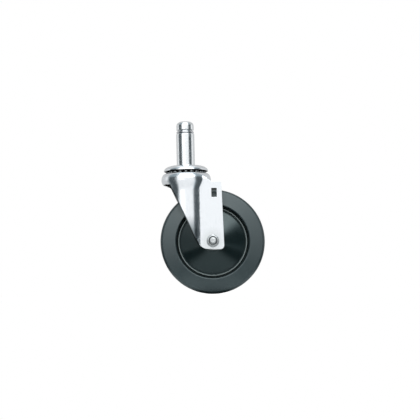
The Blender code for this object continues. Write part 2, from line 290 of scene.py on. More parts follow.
# ---- materials ----
def feed(tree, socket, value):
    """Links a node's output to the socket, or sets the socket to a plain value."""
    if hasattr(value, "is_linked"):
        tree.links.new(value, socket)
    else:
        socket.default_value = value


class Nodes:
    """Short calls for building a material's node tree."""

    def __init__(self, name):
        self.material = bpy.data.materials.new(name)
        self.material.use_nodes = True
        self.tree = self.material.node_tree
        self.shader = self.tree.nodes["Principled BSDF"]
        self.place = self.tree.nodes.new("ShaderNodeTexCoord").outputs["Object"]

    def set(self, name, value):
        feed(self.tree, self.shader.inputs[name], value)

    def stretched(self, scale):
        node = self.tree.nodes.new("ShaderNodeMapping")
        node.inputs["Scale"].default_value = scale
        self.tree.links.new(self.place, node.inputs["Vector"])
        return node.outputs["Vector"]

    def noise(self, scale, detail, roughness, stretch=None, distortion=0.0):
        node = self.tree.nodes.new("ShaderNodeTexNoise")
        node.inputs["Scale"].default_value = scale
        node.inputs["Detail"].default_value = detail
        node.inputs["Roughness"].default_value = roughness
        node.inputs["Distortion"].default_value = distortion
        vector = self.stretched(stretch) if stretch else self.place
        self.tree.links.new(vector, node.inputs["Vector"])
        return node.outputs["Fac"]

    def between(self, value, low, high, out_low=0.0, out_high=1.0):
        node = self.tree.nodes.new("ShaderNodeMapRange")
        node.inputs["From Min"].default_value = low
        node.inputs["From Max"].default_value = high
        node.inputs["To Min"].default_value = out_low
        node.inputs["To Max"].default_value = out_high
        self.tree.links.new(value, node.inputs["Value"])
        return node.outputs["Result"]

    def between_mm(self, value, low, high, out_low=0.0, out_high=1.0):
        return self.between(value, low * MM, high * MM, out_low, out_high)

    def math(self, operation, a, b=0.0):
        node = self.tree.nodes.new("ShaderNodeMath")
        node.operation = operation
        for socket, value in zip(node.inputs, (a, b)):
            feed(self.tree, socket, value)
        return node.outputs["Value"]

    def times(self, a, b):
        return self.math("MULTIPLY", a, b)

    def blend(self, share, a, b):
        """a where share is 0 and b where it is 1. Either can be a colour or a node's output."""
        node = self.tree.nodes.new("ShaderNodeMix")
        node.data_type = "RGBA"
        for index, value in ((0, share), (6, a), (7, b)):
            feed(self.tree, node.inputs[index], (*value, 1.0) if isinstance(value, tuple) else value)
        return node.outputs[2]

    def bump(self, height, strength, distance, normal=None):
        node = self.tree.nodes.new("ShaderNodeBump")
        node.inputs["Strength"].default_value = strength
        node.inputs["Distance"].default_value = distance
        self.tree.links.new(height, node.inputs["Height"])
        if normal:
            self.tree.links.new(normal, node.inputs["Normal"])
        return node.outputs["Normal"]

    def axis(self, letter):
        """The object's X, Y or Z, in metres."""
        split = self.tree.nodes.new("ShaderNodeSeparateXYZ")
        self.tree.links.new(self.place, split.inputs["Vector"])
        return split.outputs[letter]

    def reach(self, a, b):
        """Length of the vector with those two components."""
        return self.math("SQRT", self.math("ADD", self.times(a, a), self.times(b, b)))

    def axle_radius(self):
        """Distance from the wheel's axle."""
        across = self.math("SUBTRACT", self.axis("X"), WHEEL_X * MM)
        return self.reach(across, self.math("SUBTRACT", self.axis("Z"), WHEEL_Z * MM))

    def on_legs(self):
        """1 on the legs, 0 on the crown above them."""
        return self.math("LESS_THAN", self.axis("Z"), LEG_TOP_Z * MM)

    def shaded_edge(self):
        """1 along the legs' slanted front edge, where shade is painted on the sheet's edge."""
        (x, z), (end_x, end_z) = LEG_FRONT
        length = math.hypot(end_x - x, end_z - z)
        across = self.times(self.math("SUBTRACT", self.axis("X"), x * MM), (z - end_z) / length)
        up = self.times(self.math("SUBTRACT", self.axis("Z"), z * MM), (end_x - x) / length)
        return self.times(self.between_mm(self.math("ADD", across, up), *EDGE_SHADE), self.on_legs())

    def shaded_inner_faces(self):
        """Painted shade that rises up the legs' inner faces, towards the races, but not on the crown's
        outside.
        """
        inner = self.math("LESS_THAN", self.math("ABSOLUTE", self.axis("Y")), (LEG_INNER_Y + 0.4) * MM)
        across = self.reach(self.axis("X"), self.axis("Y"))
        beyond_crown = self.math("GREATER_THAN", across, (CROWN_R + 0.2) * MM)
        legs = self.math("MAXIMUM", self.on_legs(), beyond_crown)
        return self.times(self.times(inner, legs), self.between_mm(self.axis("Z"), *INNER_FACE_SHADE_Z))

    def shaded_inside(self):
        """1 inside the crown, round its two ball races, where shade is painted over the plating."""
        z = self.axis("Z")
        low_r, high_r = (r * MM for r in INSIDE_SHADE_R)
        edge = self.between_mm(z, CROWN_TOP_Z, INSIDE_SHADE_TOP_Z, low_r, high_r)
        within = self.math("LESS_THAN", self.reach(self.axis("X"), self.axis("Y")), edge)
        below = self.math("LESS_THAN", z, INSIDE_SHADE_TOP_Z * MM)
        above = self.math("GREATER_THAN", z, INSIDE_SHADE_LOW_Z * MM)
        return self.times(within, self.times(below, above))


def zinc_plate():
    """Bright zinc over pressed steel: a bluish mirror, slightly rippled, with cloudy patches."""
    n = Nodes("zinc_plate")
    patches = n.noise(170, 5, 0.6)
    streaks = n.noise(1.0, 4, 0.6, stretch=(620, 620, 110))
    grain = n.noise(2600, 3, 0.6)
    x, z = n.axis("X"), n.axis("Z")

    cloud = n.between(n.math("ADD", patches, n.times(streaks, 0.6)), 0.62, 1.0)
    colour = n.blend(cloud, (0.87, 0.905, 0.94), (0.83, 0.87, 0.905))
    radius = n.axle_radius()
    # Painted shadow round the nut's edge, then darker plating out to a wider ring.
    nut_shade_ring = n.blend(n.between_mm(radius, *NUT_SHADOW_R), (0.36, 0.39, 0.40), (0.74, 0.78, 0.80))
    colour = n.blend(n.between_mm(radius, *DARKER_ROUND_NUT_R), nut_shade_ring, colour)
    # Painted dark reflection on the lower end of the flute.
    foot_reflection = n.times(n.between_mm(z, *FOOT_REFLECTION_Z), n.between_mm(x, *FOOT_REFLECTION_X))
    colour = n.blend(foot_reflection, colour, (0.27, 0.31, 0.33))
    # Painted shade along the legs' slanted front edges.
    colour = n.blend(n.shaded_edge(), colour, (0.13, 0.15, 0.155))
    # Painted shade inside the crown and on the legs' inner faces: near black, and not metallic.
    inside_shade = n.math("MAXIMUM", n.shaded_inside(), n.shaded_inner_faces())
    n.set("Base Color", n.blend(inside_shade, colour, (0.010, 0.0095, 0.009)))
    n.set("Metallic", n.math("SUBTRACT", 1.0, inside_shade))
    n.set("Specular IOR Level", n.between(inside_shade, 0.5, 0.9, 0.5, 0.02))
    rough = n.math("ADD", patches, n.times(grain, 0.4))
    n.set("Roughness", n.between(rough, 0.45, 0.95, 0.15, 0.26))

    # A slight ripple in the valley between the flute and the flat panel
    valley = n.times(n.between_mm(x, *VALLEY_X[0]), n.between_mm(x, *VALLEY_X[1]))
    valley = n.times(valley, n.between_mm(z, CROWN_RIM_Z, FLUTE_TOP_Z))
    depth = n.times(n.noise(360, 3, 0.6), n.between(valley, 0, 1, 0.05, 0.35))
    ripple = n.bump(depth, 1.0, 0.0006)
    n.set("Normal", n.bump(grain, 0.08, 0.00012, ripple))
    return n.material


def turned_steel(name, light, dark, roughness):
    """Zinc over turned steel: fine rings left by the lathe, and light handling marks."""
    n = Nodes(name)
    rings = n.noise(1.0, 3, 0.7, stretch=(40, 40, 5200))
    patches = n.noise(240, 5, 0.6)
    colour = n.blend(n.between(patches, 0.4, 0.72), light, dark)
    n.set("Base Color", colour)
    n.set("Metallic", 1.0)
    n.set("Roughness", n.between(patches, 0.3, 0.75, *roughness))
    n.set("Normal", n.bump(rings, 0.06, 0.0001, n.bump(n.noise(300, 3, 0.5), 0.08, 0.0004)))
    return n.material


def bright_steel(name, light, dark):
    """Polished steel of the balls, ring, washers and sleeve."""
    n = Nodes(name)
    marks = n.noise(900, 4, 0.6)
    n.set("Base Color", n.blend(marks, light, dark))
    n.set("Metallic", 1.0)
    n.set("Roughness", n.between(marks, 0.3, 0.7, 0.10, 0.24))
    n.set("Normal", n.bump(n.noise(3000, 2, 0.5), 0.04, 0.00008))
    return n.material


def grey_rubber():
    """Hard satin rubber, with a faint bloom and fine moulded grain."""
    n = Nodes("grey_rubber")
    bloom = n.noise(38, 5, 0.6)
    grain = n.noise(4200, 3, 0.7)
    specks = n.between(n.noise(1500, 2, 0.5), 0.62, 0.75)
    base = n.blend(n.between(bloom, 0.35, 0.7), (0.007, 0.017, 0.020), (0.013, 0.024, 0.027))
    n.set("Base Color", n.blend(n.times(specks, 0.25), base, (0.04, 0.05, 0.05)))
    n.set("Roughness", n.between(bloom, 0.3, 0.7, 0.34, 0.44))
    n.set("Specular IOR Level", 0.95)
    n.set("Specular Tint", (0.86, 0.98, 1.0, 1.0))
    n.set("Normal", n.bump(grain, 0.14, 0.00012, n.bump(n.noise(420, 3, 0.5), 0.05, 0.0003)))
    return n.material


def black_plastic():
    """Glossy moulded black core, with faint flow marks, hairline scuffs and a painted highlight on the
    lip round the dish.
    """
    n = Nodes("black_plastic")
    flow = n.noise(90, 4, 0.55, distortion=0.6)
    scuffs = n.between(n.noise(1.0, 3, 0.6, stretch=(2200, 400, 300)), 0.62, 0.8)
    radius = n.axle_radius()
    # The lip's lighter grey is a painted highlight.
    inside_lip = n.between_mm(radius, LIP_HIGHLIGHT_R[0], LIP_HIGHLIGHT_R[0] + LIP_HIGHLIGHT_FADE)
    lip = n.times(inside_lip, n.between_mm(radius, LIP_HIGHLIGHT_R[1], LIP_HIGHLIGHT_R[1] - LIP_HIGHLIGHT_FADE))
    base = n.blend(flow, (0.0006, 0.0045, 0.0051), (0.0010, 0.0058, 0.0064))
    n.set("Base Color", n.blend(lip, base, (0.15, 0.175, 0.175)))
    gloss = n.between(flow, 0.3, 0.7, 0.15, 0.22)
    n.set("Roughness", n.math("ADD", gloss, n.times(scuffs, 0.06)))
    n.set("Specular IOR Level", 0.58)
    n.set("Specular Tint", (0.79, 0.98, 1.0, 1.0))
    n.set("Normal", n.bump(n.noise(350, 3, 0.5), 0.03, 0.0003))
    return n.material


def nylon():
    """Grey nylon of the nut's insert and the wheel's bushes."""
    n = Nodes("nylon")
    mottle = n.noise(700, 4, 0.6)
    n.set("Base Color", n.blend(mottle, (0.05, 0.057, 0.06), (0.09, 0.098, 0.10)))
    n.set("Roughness", n.between(mottle, 0.3, 0.7, 0.34, 0.48))
    n.set("Normal", n.bump(n.noise(2400, 2, 0.5), 0.08, 0.0001))
    return n.material


ZINC = zinc_plate()
TURNED = turned_steel("turned_steel", (0.86, 0.89, 0.91), (0.78, 0.82, 0.84), (0.16, 0.30))
FASTENER = turned_steel("fastener_steel", (0.57, 0.60, 0.61), (0.47, 0.50, 0.51), (0.36, 0.50))
STEEL = bright_steel("bright_steel", (0.74, 0.75, 0.77), (0.62, 0.63, 0.66))
# A darker copy of the bright steel: painted shade on the balls, which sit in the race's gap.
SHADED_BALL_STEEL = bright_steel("shaded_ball_steel", (0.26, 0.28, 0.29), (0.20, 0.22, 0.23))
RUBBER = grey_rubber()
PLASTIC = black_plastic()
NYLON = nylon()


# ---- stem body ----
def make_stem():
    low, high = GROOVE_Z
    corners = [
        (0, STEM_LENGTH),
        (7.0, STEM_LENGTH, 2.2),
        (9.8, STEM_LENGTH - 2.0, 2.0),
        (HEAD_R, STEM_LENGTH - 4.2, 1.6),
        (HEAD_R, high + 1.2, 0.7),
        (HEAD_R - 0.7, high + 0.3, 0.5),
        (GROOVE_R, high, 0.4),
        (GROOVE_R, low, 0.4),
        (STEM_R - 0.9, low, 0.25),
        (STEM_R, low - 0.9, 0.6),
        (STEM_R, 0, 0.5),
        (SEAT_R, 0, 0.3),
        (SEAT_R, -1.2, 0.2),
        (KINGPIN_R, -1.2),
        (KINGPIN_R, -19.3),
        (9.8, -19.3, 0.15),
        (9.8, -20.4, 0.5),
        (7.8, -22.0, 1.6),
        (3.4, -22.7, 2.0),
        (0, -22.7),
    ]
    obj = add("stem_turned", turned(rounded(corners, closed=False), 192))
    weighted(obj)
    finish_piece(obj, "stem", "stem", TURNED)


def make_grip_ring():
    """Split spring ring with rounded ends."""
    wire_r, sides, steps, cap_steps = 0.95, 20, 150, 5
    ring_r = GROOVE_R + wire_r + TOUCH
    ring_z = sum(GROOVE_Z) / 2 - 0.2
    sweep, start = math.radians(336), math.radians(12)
    stations = []
    for k in range(cap_steps, 0, -1):
        a = math.pi / 2 * k / cap_steps
        stations.append((-wire_r * math.sin(a) / ring_r, math.cos(a)))
    stations += [(sweep * i / steps, 1.0) for i in range(steps + 1)]
    for k in range(1, cap_steps + 1):
        a = math.pi / 2 * k / cap_steps
        stations.append((sweep + wire_r * math.sin(a) / ring_r, math.cos(a)))
    bm = bmesh.new()
    rings = []
    for turn, size in stations:
        rotate = Matrix.Rotation(start + turn, 4, "Z")
        if size < 1e-6:
            rings.append([bm.verts.new(rotate @ Vector((ring_r, 0, ring_z)))] * sides)
            continue
        points = arc((ring_r, ring_z), wire_r * size, 0, 360, sides)[:-1]
        rings.append([bm.verts.new(rotate @ Vector((r, 0, z))) for r, z in points])
    for a, b in zip(rings, rings[1:]):
        for k in range(sides):
            n = (k + 1) % sides
            bm.faces.new(list(dict.fromkeys((a[k], a[n], b[n], b[k]))))
    finish_piece(add("grip_ring_wire", bm), "stem", "grip_ring", STEEL)


def make_top_cap():
    """Dome with a turned-down edge, and the upper race inside it."""
    inner_r = SEAT_R + 0.25
    hole = KINGPIN_R + TOUCH
    dome_r, dome_top = 14.6, -0.15
    rim = CAP_EDGE_Z + 0.5
    dome = []
    for degrees in range(0, 91, 5):
        a = math.radians(degrees)
        r = dome_r + (CAP_R - dome_r) * math.sin(a)
        dome.append((r, rim + (dome_top - rim) * math.cos(a)))
    edge = [(CAP_R, rim), (CAP_R, CAP_EDGE_Z, 0.45), (CAP_R - 1.1, CAP_EDGE_Z, 0.4), (CAP_R - 1.5, rim)]
    edge = rounded(edge, closed=False)
    race = arc(UPPER_RING, UPPER_RACE_R, 38, 125, 14)
    inside = [(17.2, -4.4), (15.0, -3.4), (hole, -3.4), (hole, -1.3), (inner_r, -1.3), (inner_r, -0.3)]
    profile = [(inner_r + 0.15, dome_top)] + dome + edge[1:] + race + inside
    obj = add("top_cap_dome", turned(profile, 192))
    weighted(obj)
    finish_piece(obj, "stem", "top_cap", ZINC)


def make_lower_race():
    hole = KINGPIN_R + TOUCH
    corners = [(15.4, -14.9, 0.3)]
    corners += arc(LOWER_RING, LOWER_RACE_R, -30, -150, 12)
    corners += [(hole, -15.9), (hole, -19.2), (12.6, -19.2, 0.8), (15.4, -17.2, 1.2)]
    obj = add("lower_race_cup", turned(rounded(corners), 128))
    weighted(obj)
    finish_piece(obj, "stem", "lower_race", ZINC)


def make_balls(name, body, radius):
    """All the balls of one ring as one piece, as they turn together."""
    ball = body.removesuffix("s")
    nodes = sorted(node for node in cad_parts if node.startswith(f"{ball}_"))
    ring = bmesh.new()
    for node in nodes:
        low, high = box_mm(node)
        centre = Matrix.Translation((low + high) / 2)
        bmesh.ops.create_icosphere(ring, subdivisions=4, radius=radius, matrix=centre)
    obj = add(name, ring)
    obj.data.materials.append(SHADED_BALL_STEEL)
    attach(obj, body)
    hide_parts(*nodes)


# ---- fork body ----
def crown_radius(z):
    """Outer radius of the crown: elliptical shoulder to the waist, then a curled-in skirt."""
    if z > CROWN_WAIST_Z:
        rise = min(1.0, (z - CROWN_WAIST_Z) / (CROWN_TOP_Z - CROWN_WAIST_Z))
        return CROWN_TOP_R + (CROWN_R - CROWN_TOP_R) * math.sqrt(1 - rise * rise)
    drop = (CROWN_WAIST_Z - z) / (CROWN_WAIST_Z - CROWN_RIM_Z)
    return CROWN_R - (CROWN_R - CROWN_RIM_R) * drop * drop


def race_angle(z, ring_z, race_r):
    """Where a race's arc crosses a height, in degrees."""
    return math.degrees(math.asin((z - ring_z) / race_r))


def make_crown():
    """Shoulder and skirt, with the plate between the two rings of balls and a race on each side."""
    plate_hole = 7.2
    outside = []
    for k in range(19):
        a = math.radians(90 - 5 * k)
        r = CROWN_TOP_R + (CROWN_R - CROWN_TOP_R) * math.cos(a)
        outside.append((r, CROWN_WAIST_Z - (CROWN_WAIST_Z - CROWN_TOP_Z) * math.sin(a)))
    skirt_end = CROWN_RIM_Z + 0.5
    skirt = [CROWN_WAIST_Z + (skirt_end - CROWN_WAIST_Z) * k / 8 for k in range(1, 9)]
    outside += [(crown_radius(z), z) for z in skirt]
    above = (crown_radius(skirt_end), skirt_end)
    outer, inner = (CROWN_RIM_R, CROWN_RIM_Z), (CROWN_RIM_R - SHEET, CROWN_RIM_Z)
    rim = corner_arc(above, outer, inner, 0.6, 5)
    rim += corner_arc(outer, inner, (CROWN_RIM_R - SHEET + 0.2, CROWN_RIM_Z + 2), 0.6, 5)
    inside = [(crown_radius(z) - SHEET, z) for z in (-22.0, -21.0, -20.0, -19.0, CROWN_WAIST_Z)]
    under = arc((24.0, CROWN_WAIST_Z), CROWN_R - SHEET - 24.0, 15, 60, 4)
    under += arc(UPPER_RING, UPPER_RACE_R + SHEET, -52, -130, 12)
    edge = race_angle(PLATE_UNDER_Z, LOWER_RING[1], LOWER_RACE_R)
    lower_race = [(14.9, PLATE_UNDER_Z)] + arc(LOWER_RING, LOWER_RACE_R, edge, 180 - edge, 12)
    plate = [(plate_hole, PLATE_UNDER_Z), (plate_hole, PLATE_TOP_Z)]
    inner_edge = race_angle(PLATE_TOP_Z, UPPER_RING[1], UPPER_RACE_R)
    outer_edge = race_angle(CROWN_TOP_Z, UPPER_RING[1], UPPER_RACE_R)
    race = arc(UPPER_RING, UPPER_RACE_R, 180 - inner_edge, 360 + outer_edge, 20)
    return turned(outside + rim + inside + under + lower_race + plate + race, 192)


def smooth_max(a, b, blend):
    """The larger of a and b, with a fillet where they cross."""
    share = min(1.0, max(0.0, 0.5 + 0.5 * (a - b) / blend))
    return b + (a - b) * share + blend * share * (1 - share)


def flute_section(z):
    """Radius of a leg's flute at a height, and how far out its centre line is."""
    share = min(1.0, max(0.0, (CROWN_WAIST_Z - z) / (CROWN_WAIST_Z - FLUTE_TOP_Z)))
    share = share * share * (3 - 2 * share)
    radius = crown_radius(max(z, CROWN_WAIST_Z))
    return radius + (FLUTE_R - radius) * share, FLUTE_Y * share


def leg_surface(x, z):
    """How far a leg's outer face is from the middle plane.

    Above the crown's waist the leg dips under the crown's own surface, so that no step shows.
    """
    dip = 0.3 * min(1.0, max(0.0, (z - CROWN_WAIST_Z) / 3.0))
    radius, centre_y = flute_section(z)
    across = (radius - dip) ** 2 - x * x
    flute = centre_y + math.sqrt(max(across, 0.0))
    if x <= 0:
        return flute
    return smooth_max(flute if across > 0 else 0.0, LEG_FACE_Y - dip, VALLEY_BLEND)


def leg_outline():
    """Side view of a leg, clockwise from inside the skirt's front, as (x, z, corner radius)."""
    foot_z = WHEEL_Z - 10.2
    return rounded(
        [
            (-23.8, -19.0),
            (-23.8, CROWN_RIM_Z - 0.4),
            (*LEG_FRONT[0], 9.0),
            (*LEG_FRONT[1], 34.0),
            (17.0, foot_z + 1.6, 15.0),
            (30.0, foot_z, 12.0),
            (44.2, foot_z, 5.0),
            (42.2, -21.2, 4.0),
            (29.6, -21.2, 4.0),
            (17.4, -12.6, 1.5),
            (13.6, -13.2),
            (8.0, -19.0),
        ],
        steps=14,
    )


def window_outline():
    low, high, near, far = -40.7, -29.8, 30.0, 36.6
    corners = ((near, low), (near, high), (far, high), (far, low))
    return rounded([(x, z, 0.7) for x, z in corners], steps=4)


def respaced(outline, step):
    """The same closed outline with a point at least every step."""
    points = []
    for a, b in zip(outline, outline[1:] + outline[:1]):
        a, b = Vector(a), Vector(b)
        length = (b - a).length
        count = max(1, math.ceil(length / step))
        if length < 1e-6:
            continue
        points += [tuple(a.lerp(b, k / count)) for k in range(count)]
    return points


def inside(point, outline):
    """True if the point is inside the closed outline."""
    x, y = point
    found = False
    for (ax, ay), (bx, by) in zip(outline, outline[1:] + outline[:1]):
        if (ay > y) != (by > y) and x < (bx - ax) * (y - ay) / (by - ay) + ax:
            found = not found
    return found


def clear_of(point, outlines, gap):
    """True if the point is farther than gap from every point of the outlines."""
    px, pz = point
    return all((px - x) ** 2 + (pz - z) ** 2 > gap * gap for outline in outlines for x, z in outline)


def leg_sheet(side):
    """A leg: its outline and holes triangulated flat, then raised to the pressed shape."""
    step = 1.2
    outline = respaced(leg_outline(), step)
    window = respaced(window_outline(), step)
    hole = arc((WHEEL_X, WHEEL_Z), BOLT_R + 0.2, 0, 360, 40)[:-1]
    loops = [outline, window, hole]
    points = []
    edges = []
    for loop in loops:
        start = len(points)
        points += [Vector(p) for p in loop]
        edges += [(start + k, start + (k + 1) % len(loop)) for k in range(len(loop))]

    def in_sheet(point):
        return inside(point, outline) and not inside(point, window) and not inside(point, hole)

    for i in range(-20, 38):
        for j in range(10, 90):
            p = (i * step, -j * step)
            if in_sheet(p) and clear_of(p, loops, 0.62 * step):
                points.append(Vector(p))
    flat, _, faces, *_ = delaunay_2d_cdt(points, edges, [], 1, 1e-5)
    bm = bmesh.new()
    verts = [bm.verts.new((p.x, side * leg_surface(p.x, p.y), p.y)) for p in flat]
    for face in faces:
        middle = sum((flat[k] for k in face), Vector((0, 0))) / len(face)
        if in_sheet(middle):
            bm.faces.new([verts[k] for k in face])
    loose = [v for v in bm.verts if not v.link_faces]
    bmesh.ops.delete(bm, geom=loose, context="VERTS")
    obj = add("leg", bm)
    outward = sum((p.normal.y * p.area for p in obj.data.polygons), 0.0) * side
    if outward < 0:
        obj.data.flip_normals()
    solid = obj.modifiers.new("sheet", "SOLIDIFY")
    solid.thickness = SHEET * MM
    solid.offset = -1
    solid.use_even_offset = True
    edge = obj.modifiers.new("edges", "BEVEL")
    edge.width = 0.85 * MM
    edge.segments = 4
    edge.limit_method = "ANGLE"
    edge.angle_limit = math.radians(60)
    bpy.context.view_layer.update()
    return settle(obj)


def make_fork():
    fork = add("fork_pressing", make_crown())
    for side in (-1, 1):
        combine(fork, leg_sheet(side), "UNION")
    settle(fork, 38)
    finish_piece(fork, "fork", "fork", ZINC)


def hex_piece(name, low, high, profile):
    """A hexagonal piece whose corners a turned outline rounds off. low and high are along Y."""
    corner_r = HEX_ACROSS_FLATS / 2 / math.cos(math.pi / 6)
    hexagon = arc((0, 0), corner_r, -90, 210, 5)
    obj = add(name, at_axle(prism(hexagon, low, high)))
    return combine(obj, add("cone", on_axle(profile, 96)), "INTERSECT")


def softened(obj):
    """Breaks an object's edges by a fine bevel."""
    bevel = obj.modifiers.new("soft_edges", "BEVEL")
    bevel.width = 0.12 * MM
    bevel.segments = 2
    bevel.limit_method = "ANGLE"
    bevel.angle_limit = math.radians(28)
    bpy.context.view_layer.update()
    settle(obj)
    weighted(obj)


def make_bolt():
    """Hex bolt. Lathe heights run along -Y, so the head's are negative."""
    face = -(LEG_FACE_Y + TOUCH)
    head = face - BOLT_HEAD_HEIGHT
    flat_r, corner_r = HEX_ACROSS_FLATS / 2 - 0.1, HEX_ACROSS_FLATS / 2 + 1.4
    drop = (corner_r - flat_r) * math.tan(math.radians(30))
    cone = [(0, face), (flat_r - 0.2, face), (corner_r, face - 0.35)]
    cone += [(corner_r, head + drop), (flat_r, head), (0, head)]
    bolt = hex_piece("axle_bolt_hex", -face - 0.01, -head + 0.01, cone)
    shank = [(0, -25.0), (BOLT_R, -25.0), (BOLT_R, 20.0)]
    z = 20.4
    while z < BOLT_END - 1.4:
        shank += [(BOLT_R - THREAD_DEPTH, z), (BOLT_R - 0.04, z + THREAD_PITCH / 2)]
        z += THREAD_PITCH
    shank += [(BOLT_R - THREAD_DEPTH, BOLT_END - 1.0), (3.2, BOLT_END - 0.12), (2.9, BOLT_END)]
    shank += [(1.6, BOLT_END - 0.1), (0, BOLT_END - 0.16)]
    combine(bolt, add("shank", on_axle(shank, 64)), "UNION")
    softened(bolt)
    finish_piece(bolt, "fork", "axle_bolt", FASTENER)


def make_nut():
    """Lock nut: chamfered hexagon, rolled collar and the nylon ring inside it."""
    face = LEG_FACE_Y + TOUCH
    top = face + NUT_HEIGHT
    flat_r, corner_r = HEX_ACROSS_FLATS / 2 - 0.15, HEX_ACROSS_FLATS / 2 + 1.4
    drop = (corner_r - flat_r) * math.tan(math.radians(30))
    cone = [(0, face), (flat_r, face), (corner_r, face + drop)]
    cone += [(corner_r, top - drop), (flat_r, top), (0, top)]
    nut = hex_piece("axle_nut_hex", -top - 0.01, -face + 0.01, cone)
    collar = [(5.9, top - 1.0), (6.2, top + 1.1, 0.4), (5.9, top + 1.75, 0.3)]
    collar += [(5.35, top + 1.75, 0.15), (5.35, top - 1.0)]
    combine(nut, add("collar", on_axle(rounded(collar), 96)), "UNION")
    bore = [(0, 35.0), (BOLT_R + 0.12, 35.0), (BOLT_R + 0.12, 20.0), (0, 20.0)]
    combine(nut, add("bore", on_axle(bore, 96)), "DIFFERENCE")
    softened(nut)
    finish_piece(nut, "fork", "axle_nut", FASTENER)
    outer, inner, low, high = 5.3, BOLT_R + 0.1, 28.9, 30.1
    insert = [(outer, low, 0.1), (outer, high, 0.2), (inner, high, 0.2), (inner, low, 0.1)]
    ring = add("nylon_insert_ring", on_axle(rounded(insert), 96))
    finish_piece(ring, "fork", "nylon_insert", NYLON)


def make_sleeve_and_washers():
    bore = BOLT_R + 0.2
    inner = LEG_INNER_Y - TOUCH - WASHER_THICKNESS
    half = inner - TOUCH
    tube = [(SLEEVE_R, half, 0.3), (SLEEVE_R, -half, 0.3), (bore, -half, 0.2), (bore, half, 0.2)]
    sleeve = add("axle_sleeve_tube", on_axle(rounded(tube), 96))
    weighted(sleeve)
    finish_piece(sleeve, "fork", "axle_sleeve", STEEL)
    for name, low in (("washer_near", inner), ("washer_far", -inner - WASHER_THICKNESS)):
        high = low + WASHER_THICKNESS
        ring = [(9.6, high, 0.25), (9.6, low, 0.25), (bore, low, 0.15), (bore, high, 0.15)]
        washer = add(f"{name}_disc", on_axle(rounded(ring), 96))
        weighted(washer)
        finish_piece(washer, "fork", name, STEEL)


# ---- wheel body ----
def mirrored(half):
    """A whole section from the half of it on one side of the wheel's middle plane."""
    return half + [(r, -y, *rest) for r, y, *rest in reversed(half)]


def make_core():
    """Hub boss, conical dish with a raised lip round it, a deep groove, and the tyre's rim."""
    bore = BUSH_R + 0.15
    half = [
        (bore, 17.4, 0.3),
        (BOSS_R - 0.4, 17.4, 0.4),
        (BOSS_R + 0.1, 16.9, 0.4),
        (BOSS_R + 0.7, 16.6, 0.6),
        (39.8, 5.9, 0.4),
        (40.5, 7.1, 0.5),
        (41.9, 7.1, 0.6),
        (42.3, 4.2, 0.5),
        (43.6, 3.8, 0.5),
        (44.2, 5.0, 0.5),
        (44.2, 9.0, 0.2),
        (47.6, 9.0, 0.2),
    ]
    core = add("wheel_core_moulding", on_axle(rounded(mirrored(half)), 256))
    weighted(core)
    finish_piece(core, "wheel", "wheel_core", PLASTIC)


def make_tyre():
    """Tyre with sidewalls that taper towards the tread, and the mould's parting line round it."""
    w = TYRE_HALF_WIDTH
    half = [
        (47.9, 9.3, 0.2),
        (44.4, 9.3, 0.3),
        (44.2, 10.0, 0.3),
        (44.4, w + 0.1, 2.4),
        (60.8, w - 2.7, 1.8),
        (62.9, w - 4.9, 2.6),
        (WHEEL_R - 0.1, w - 7.3, 5.0),
        (WHEEL_R, 3.0, 10.0),
        (WHEEL_R, 0.35, 0.2),
        (WHEEL_R - 0.12, 0.15, 0.1),
    ]
    tyre = add("tyre_tread", on_axle(rounded(mirrored(half), steps=8), 256))
    weighted(tyre)
    finish_piece(tyre, "wheel", "tyre", RUBBER)


def make_bushes():
    inner_r = SLEEVE_R + 0.15
    for name, side in (("bush_near", 1), ("bush_far", -1)):
        corners = [
            (BUSH_R, 2.0, 0.3),
            (BUSH_R, 17.5),
            (10.6, 17.5, 0.2),
            (10.6, 18.7, 0.3),
            (inner_r, 18.7, 0.3),
            (inner_r, 2.0, 0.2),
        ]
        profile = [(r, side * y) for r, y in rounded(corners)]
        bush = add(f"{name}_flanged", on_axle(profile, 96))
        weighted(bush)
        finish_piece(bush, "wheel", name, NYLON)


# ---- studio ----
def make_camera():
    """Long lens near the floor, aimed level at the wheel. The object leans a little in the frame."""
    distance, azimuth, roll = 1.24, math.radians(-1.0), math.radians(-1.3)
    wheel = Vector((WHEEL_X, 0, WHEEL_Z)) * MM
    height = (FLOOR_Z + 7.0) * MM
    spot = Vector((wheel.x + distance * math.sin(azimuth), -distance * math.cos(azimuth), height))
    data = bpy.data.cameras.new("camera")
    camera = bpy.data.objects.new("camera", data)
    toward = (wheel - spot).normalized()
    rotation = toward.to_track_quat("-Z", "Y").to_matrix().to_4x4() @ Matrix.Rotation(roll, 4, "Z")
    camera.matrix_world = Matrix.Translation(spot) @ rotation
    data.sensor_width = 36.0
    wheel_width_share = 0.2478  # of the frame
    data.lens = wheel_width_share * data.sensor_width * (wheel - spot).length / (2 * WHEEL_R * MM)
    data.shift_x, data.shift_y = -0.0062, 0.0757
    data.clip_start = 0.01
    bpy.context.scene.collection.objects.link(camera)
    bpy.context.scene.camera = camera


